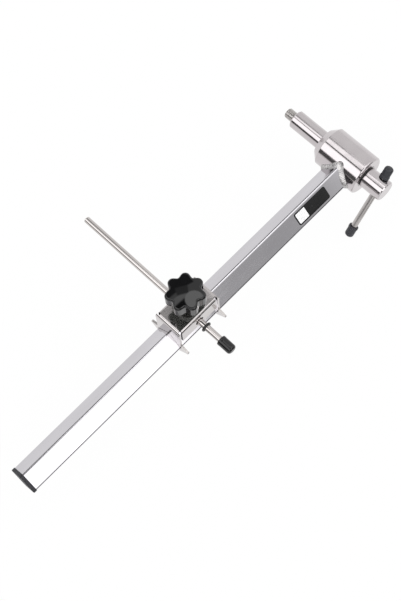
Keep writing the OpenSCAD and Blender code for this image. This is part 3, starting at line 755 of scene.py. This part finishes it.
def makeGaugeRod():
    radius, centre = float(rodBox[1][0] - rodBox[0][0]) / 2, (carriageX, 0, rodZ)
    rod = barCorners(radius, rodBox[0][1], rodBox[1][1], rodEnd["chamfer"], rodEnd["break"])
    turnedPiece("gauge_rod_drawn", rod, centre, headAxis, rodSteel, "rod", ("gauge_rod",),
                segments=96)
    size = rodCapBox[1] - rodCapBox[0]
    cap = capCorners(float(size[0]), float(size[1]), radius, pushCap["slimDrop"])
    turnedPiece("gauge_rod_cap_gloss", cap, (carriageX, rodCapBox[0][1], rodZ), headAxis, glossVinyl,
                "rod", ("gauge_rod_cap",), segments=96, sharpAngle=50)


def makeMarker():
    # A round section carried round the rod; its radius has the mould's faint flash line outside, a
    # bell curve of the angle
    section = float(markerBox[1][1] - markerBox[0][1]) / 2
    middle = float(markerBox[1][0] - markerBox[0][0]) / 2 - section
    station = float(markerBox[1][1] + markerBox[0][1]) / 2
    rows, columns, flash = marker["rows"], marker["columns"], marker["flash"]
    turn, around = onceRound(rows)[:, None], onceRound(columns)[None]
    ridge = flash * np.exp(-(np.minimum(turn, 2 * math.pi - turn) / marker["flashWide"]) ** 2)
    thick = section - flash + ridge
    points = turnedPoints(middle + thick * np.cos(turn), station + thick * np.sin(turn) + 0 * around,
                          around, (carriageX, 0, rodZ), headAxis)
    makePiece("marker_ring_rubber", points, gridQuads(rows, columns, True, True), ringRubber, "marker",
              ("marker_ring",), sharpAngle=180)


# Clamp

knobBox, studBox = nodeBox("clamp_knob"), nodeBox("clamp_stud")
knob = {"tip": 17.5, "lobes": 7, "firstLobe": 44.5, "flute": 3.7, "flutePower": 1.3, "lobePower": 1.5,
        "neckLow": 8.5, "neckHigh": 9.75, "neckFoot": 0.6, "neckTop": 0.8, "neckHeight": 12.0,
        "headHeight": 14.0, "underRound": 1.2, "topRound": 2.2, "topShare": 1.4, "dome": 1.6,
        "domeBelow": 0.5, "innerRows": 30, "columns": 336, "sameLevel": 0.001, "unbuffedSlope": 0.5,
        "unbuffedDrop": 0.5}


def makeKnob():
    # Rows of (radius, height, lobing): each point comes in by the flute's depth times half of one less
    # the cosine of seven turns, to a power; lobing says how much of that a row takes, none at the
    # centre. The top rows rise by a dome, worked out from the point's own radius.
    foot = float(knobBox[0][2])
    head = foot + knob["neckHeight"]
    rim = head + knob["headHeight"]
    tip, top, neck = knob["tip"], knob["topRound"], knob["neckHigh"]
    wall = roundedPath([(0, foot, 0), (knob["neckLow"], foot, knob["neckFoot"]),
                        (neck, head, knob["neckTop"]), (tip, head, knob["underRound"]), (tip, rim, top),
                        (0, rim, 0)])[:-1]
    flat = tip - knob["topShare"] * top
    inner = np.linspace(flat, 0, knob["innerRows"])
    rows = np.concatenate([wall, np.stack([inner, np.full(inner.shape, rim)], -1)])
    radius, height = rows[:, :1], rows[:, 1:]
    under = np.clip((radius - neck) / (tip - 2 * top - neck), 0, 1)
    above = np.clip(radius / flat, 0, 1) ** knob["lobePower"]
    lobing = np.where(height < head + knob["sameLevel"], under, above)
    lobing = np.where(height < head - knob["sameLevel"], 0, lobing)
    angle = onceRound(knob["columns"])[None]
    turn = knob["lobes"] * (angle - math.radians(knob["firstLobe"]))
    spun = radius - lobing * knob["flute"] * ((1 - np.cos(turn)) / 2) ** knob["flutePower"]
    domeRadius = (tip ** 2 + knob["dome"] ** 2) / (2 * knob["dome"])
    rise = knob["dome"] - domeRadius + np.sqrt(domeRadius ** 2 - spun ** 2)
    lifted = height + np.where(height > rim - top - knob["domeBelow"], rise, 0)
    points = np.stack([carriageX + spun * np.cos(angle), armY + spun * np.sin(angle), lifted], -1)
    quads = gridQuads(len(rows), knob["columns"], False, True)
    piece = makePiece("clamp_knob_phenolic", points, quads, knobPhenolic, "knob", ("clamp_knob",),
                      sharpAngle=60)
    middles, ways = faceTable(piece)
    low = middles[:, 2] < head - knob["unbuffedDrop"]
    addFinish(piece, knobUnder, (ways[:, 2] < -knob["unbuffedSlope"]) | low)


stud = {"radius": 4.0, "pivot": 1.5, "shoulderGap": 1.0, "chamfer": 0.7, "headRadius": 5.5,
        "headHeight": 5.0, "runOut": 1.0}


def makeStud():
    low, high = float(studBox[0][2]), float(studBox[1][2])
    radius, chamfer = stud["radius"], stud["chamfer"]
    shoulder = low + stud["shoulderGap"]
    headUnder = high - stud["headHeight"]
    thread = {"pitch": 1.25, "depth": 0.7, "core": 1.6, "from": shoulder,
              "to": headUnder - stud["runOut"], "runOut": stud["runOut"]}
    threadedPiece("clamp_stud_threaded", [
        (0, low, 0), (stud["pivot"], low, 0), (stud["pivot"], shoulder, 0), (radius - chamfer, shoulder, 0),
        (radius, shoulder + chamfer, 0), (radius, headUnder, 0), (stud["headRadius"], headUnder, 0),
        (stud["headRadius"], high, 0), (0, high, 0)],
        thread, (carriageX, armY, 0), (0, 0, 1), screwSteel, "knob", ("clamp_stud",))


# Label film on the arm's near upper face, blank but for a plain white block

film = {"from": -77.0, "to": -37.6, "low": -6.3, "high": 6.7, "corner": 2.0, "thick": 0.1}
block = {"from": -75.6, "to": -64.4, "low": -4.9, "high": 5.4, "corner": 0.7, "thick": 0.05}


def roundedSheet(form, lift):
    # Rounded rectangle on the tube's flat: station along the arm, w up the face, and lift off it;
    # rings run from the middle of the upper side out to the edge, down it and in again below
    x0, x1, w0, w1 = (form[key] for key in ("from", "to", "low", "high"))
    line = roundedPath([(x, w, form["corner"]) for x, w in ((x0, w0), (x1, w0), (x1, w1), (x0, w1))])
    middle = np.array([(x0 + x1) / 2, (w0 + w1) / 2])
    shares = np.array([0.02, 0.6, 0.97, 1.0, 1.0, 0.97, 0.02])[:, None, None]
    lifts = np.array([1, 1, 1, 0.75, 0, 0, 0])[:, None] * form["thick"] + lift
    flat = middle + (line - middle)[None] * shares
    half = math.sqrt(0.5)
    off = arm["width"] / 2 + lifts + 0 * flat[..., 0]
    w = flat[..., 1]
    return np.stack([flat[..., 0], armY + (w - off) * half, (w + off) * half], -1)


def makeLabel():
    for name, form, lift, material in (("label_film", film, 0.0, labelInk),
                                       ("label_block", block, film["thick"], labelWhite)):
        sheet = roundedSheet(form, lift)
        quads = gridQuads(*sheet.shape[:2], False, True)
        makePiece(name, sheet, quads, material, "arm", sharpAngle=50)


makeArmTube()
makeEndCap()
makeBarrel()
makeWeldBead()
makeSpindle()
print("arm and head made")
makeHandle()
makeCarriage()
makeGaugeRod()
makeMarker()
makeKnob()
makeStud()
makeLabel()
print("carriage, rod, knob and label made")

# CAD nodes that keep their own shape take a finish in their slots
keptNodes = {"front_bush": bushSteel, "rear_bush": bushSteel, "pressure_pad": washerNylon,
             "shim_washer": blockSteel, "retaining_ring": ringSteel, "thrust_washer": washerNylon,
             "clamp_shoe": shoeBrass}
for node, material in keptNodes.items():
    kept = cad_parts[node]
    if not kept.material_slots:
        kept.data.materials.append(material)
    for place in kept.material_slots:
        place.material = material
print("kept nodes dressed")


# Studio

# Brightness of the pale side and of the dark gap, the X of a direction where one turns into the
# other, its Z up to which the room is pale all round, and how white the floor glows
studio = {"side": 0.9, "gap": 0.09, "turnOver": (-0.25, -0.18), "skirting": 0.12, "floorWhite": 1.0}
# Each card: azimuth of its middle from +X, elevation, half width and half height, all in degrees,
# then the soft edge in radians and the brightness. Bright ones are soft boxes, dim ones openings.
cards = [
    (160, 46, 60, 19, 0.05, 1.85),
    (-73, 16, 5, 22, 0.03, 0.5),
    (-91.5, 18, 14, 24, 0.01, 2.0),
    (-70, 57, 40, 14, 0.05, 1.6),
    (82, 47, 24, 20, 0.02, 0.12),
    (180, 89, 13, 13, 0.03, 0.08),
    (84, 74, 14.5, 3.2, 0.02, 1.7),
    (59, 67, 6, 4.3, 0.02, 0.36),
    (-80, -12, 30, 20, 0.03, 0.03),
]
roundLight = {"azimuth": 17, "elevation": 76, "half": 9.4, "soft": 0.003, "level": 2.55}


def wayTo(azimuth, elevation):
    # Unit vector of a direction in degrees, azimuth from +X and elevation from the level
    a, e = math.radians(azimuth), math.radians(elevation)
    return np.array([math.cos(a) * math.cos(e), math.sin(a) * math.cos(e), math.sin(e)])


def smoothStep(tree, value, start, end, low, high):
    # Smooth change from low to high while the value goes from start to end
    return addNode(tree, "ShaderNodeMapRange", {"interpolation_type": "SMOOTHSTEP"}, {
        "Value": value, "From Min": start, "From Max": end, "To Min": low,
        "To Max": high}).outputs["Result"]


def blendLevels(tree, share, under, over):
    # Brightness under, replaced by the one over it as the share goes to 1
    return addNode(tree, "ShaderNodeMix", {}, {"Factor": share, "A": under, "B": over}).outputs["Result"]


def makeWorld():
    # What polished steel sees: a pale room on the +X side and all round near the floor, a dark gap
    # on the other side, then the cards and a round light laid over them. The camera itself sees
    # plain white. A card covers the directions whose angles from its middle, sideways and upwards,
    # are less than its halves.
    world = bpy.data.worlds.new("studio")
    bpy.context.scene.world = world
    world.use_nodes = True
    tree = world.node_tree
    tree.nodes.clear()
    way = addNode(tree, "ShaderNodeTexCoord").outputs["Generated"]
    parts = addNode(tree, "ShaderNodeSeparateXYZ", sockets={"Vector": way})
    level = smoothStep(tree, parts.outputs["X"], *studio["turnOver"], studio["gap"], studio["side"])
    low = smoothStep(tree, parts.outputs["Z"], 0.0, studio["skirting"], 1.0, 0.0)
    level = blendLevels(tree, low, level, studio["side"])
    for azimuth, elevation, halfWide, halfHigh, soft, brightness in cards:
        middle = wayTo(azimuth, elevation)
        right = wayTo(azimuth - 90, 0)
        up = np.cross(right, middle)
        ahead = vectorNode(tree, "DOT_PRODUCT", "Value", way, middle)
        shares = []
        for side, half in ((right, halfWide), (up, halfHigh)):
            reach = vectorNode(tree, "DOT_PRODUCT", "Value", way, side)
            turn = mathNode(tree, "ABSOLUTE", mathNode(tree, "ARCTAN2", reach, ahead))
            edge = math.radians(half)
            shares.append(smoothStep(tree, turn, edge - soft, edge + soft, 1.0, 0.0))
        level = blendLevels(tree, mathNode(tree, "MULTIPLY", *shares), level, brightness)
    ahead = vectorNode(tree, "DOT_PRODUCT", "Value", way,
                       wayTo(roundLight["azimuth"], roundLight["elevation"]))
    rim, soft = math.cos(math.radians(roundLight["half"])), roundLight["soft"] / 2
    disc = smoothStep(tree, ahead, rim - soft, rim + soft, 0.0, 1.0)
    level = blendLevels(tree, disc, level, roundLight["level"])
    seen = addNode(tree, "ShaderNodeLightPath")
    level = blendLevels(tree, seen.outputs["Is Camera Ray"], level, 1.0)
    light = addNode(tree, "ShaderNodeBackground", sockets={"Color": linear("#ffffff"), "Strength": level})
    addNode(tree, "ShaderNodeOutputWorld", sockets={"Surface": light.outputs["Background"]})


floor = {"half": 3000.0, "points": 9, "gap": 0.5, "white": "#ffffff", "roughness": 0.9, "keep": 0.96,
         "edge": -150.0}


def makeFloor():
    # White paper: what the camera and the metal see of it is mostly plain white, and the rest keeps
    # the shadow. Reflections see it end a little in front of the arm, which gives the arm a dark line.
    height = float(cadBox[0][2]) / metresPerMm - floor["gap"]
    middle = (np.array(cadBox[0]) + np.array(cadBox[1])) / 2 / metresPerMm
    count = floor["points"]
    off = np.linspace(-floor["half"], floor["half"], count)
    x, y = np.meshgrid(middle[0] + off, middle[1] + off, indexing="ij")
    points = np.stack([x, y, np.full(x.shape, height)], -1)
    mesh = bpy.data.meshes.new("studio_floor")
    quads = gridQuads(count, count, False, False)
    mesh.from_pydata(points.reshape(-1, 3) * metresPerMm, [], quads.tolist())
    ground = bpy.data.objects.new("studio_floor", mesh)
    bpy.context.scene.collection.objects.link(ground)
    material, tree, body, place = startMaterial("white paper", {
        "Base Color": linear(floor["white"]), "Roughness": floor["roughness"], "Specular IOR Level": 0.0})
    seen = addNode(tree, "ShaderNodeLightPath")
    either = mathNode(tree, "MAXIMUM", seen.outputs["Is Camera Ray"], seen.outputs["Is Glossy Ray"])
    either = mathNode(tree, "MAXIMUM", either, seen.outputs["Is Transmission Ray"])
    keep = mathNode(tree, "MULTIPLY", either, floor["keep"])
    parts = addNode(tree, "ShaderNodeSeparateXYZ", sockets={"Vector": place})
    past = mathNode(tree, "LESS_THAN", parts.outputs["Y"], floor["edge"] * metresPerMm)
    gone = mathNode(tree, "MULTIPLY", past, seen.outputs["Is Glossy Ray"])
    glow = addNode(tree, "ShaderNodeEmission", sockets={"Strength": studio["floorWhite"]})
    mixed = addNode(tree, "ShaderNodeMixShader", sockets={
        0: keep, 1: body.outputs["BSDF"], 2: glow.outputs["Emission"]})
    clear = addNode(tree, "ShaderNodeBsdfTransparent")
    paper = addNode(tree, "ShaderNodeMixShader", sockets={
        0: gone, 1: mixed.outputs[0], 2: clear.outputs["BSDF"]})
    out = next(n for n in tree.nodes if n.bl_idname == "ShaderNodeOutputMaterial")
    tree.links.new(paper.outputs[0], out.inputs["Surface"])
    mesh.materials.append(material)


makeWorld()
makeFloor()
print("studio made")

# Camera: solved from the photograph's own points against the part's real sizes. Place in
# millimetres, focal length and height of the picture in pixels, sensor in millimetres, clip in metres
shot = {"place": (-447.3, -373.6, 1051.7), "right": (0.696, -0.7169, -0.041),
        "ahead": (0.2307, 0.2774, -0.9327), "focalPixels": 1300.0, "frameHigh": 601, "sensor": 36.0,
        "clip": (0.01, 100)}


def makeCamera():
    data = bpy.data.cameras.new("photo camera")
    data.sensor_width = shot["sensor"]
    data.lens = shot["focalPixels"] / shot["frameHigh"] * shot["sensor"]
    data.clip_start, data.clip_end = shot["clip"]
    camera = bpy.data.objects.new("photo camera", data)
    bpy.context.scene.collection.objects.link(camera)
    ahead = Vector(shot["ahead"]).normalized()
    right = Vector(shot["right"])
    right = (right - ahead * right.dot(ahead)).normalized()
    up = right.cross(ahead)
    turn = Matrix((right, up, -ahead)).transposed().to_4x4()
    camera.matrix_world = Matrix.Translation(Vector(shot["place"]) * metresPerMm) @ turn
    bpy.context.scene.camera = camera


makeCamera()
view = bpy.context.scene.view_settings
view.view_transform = "Standard"
print("camera set")
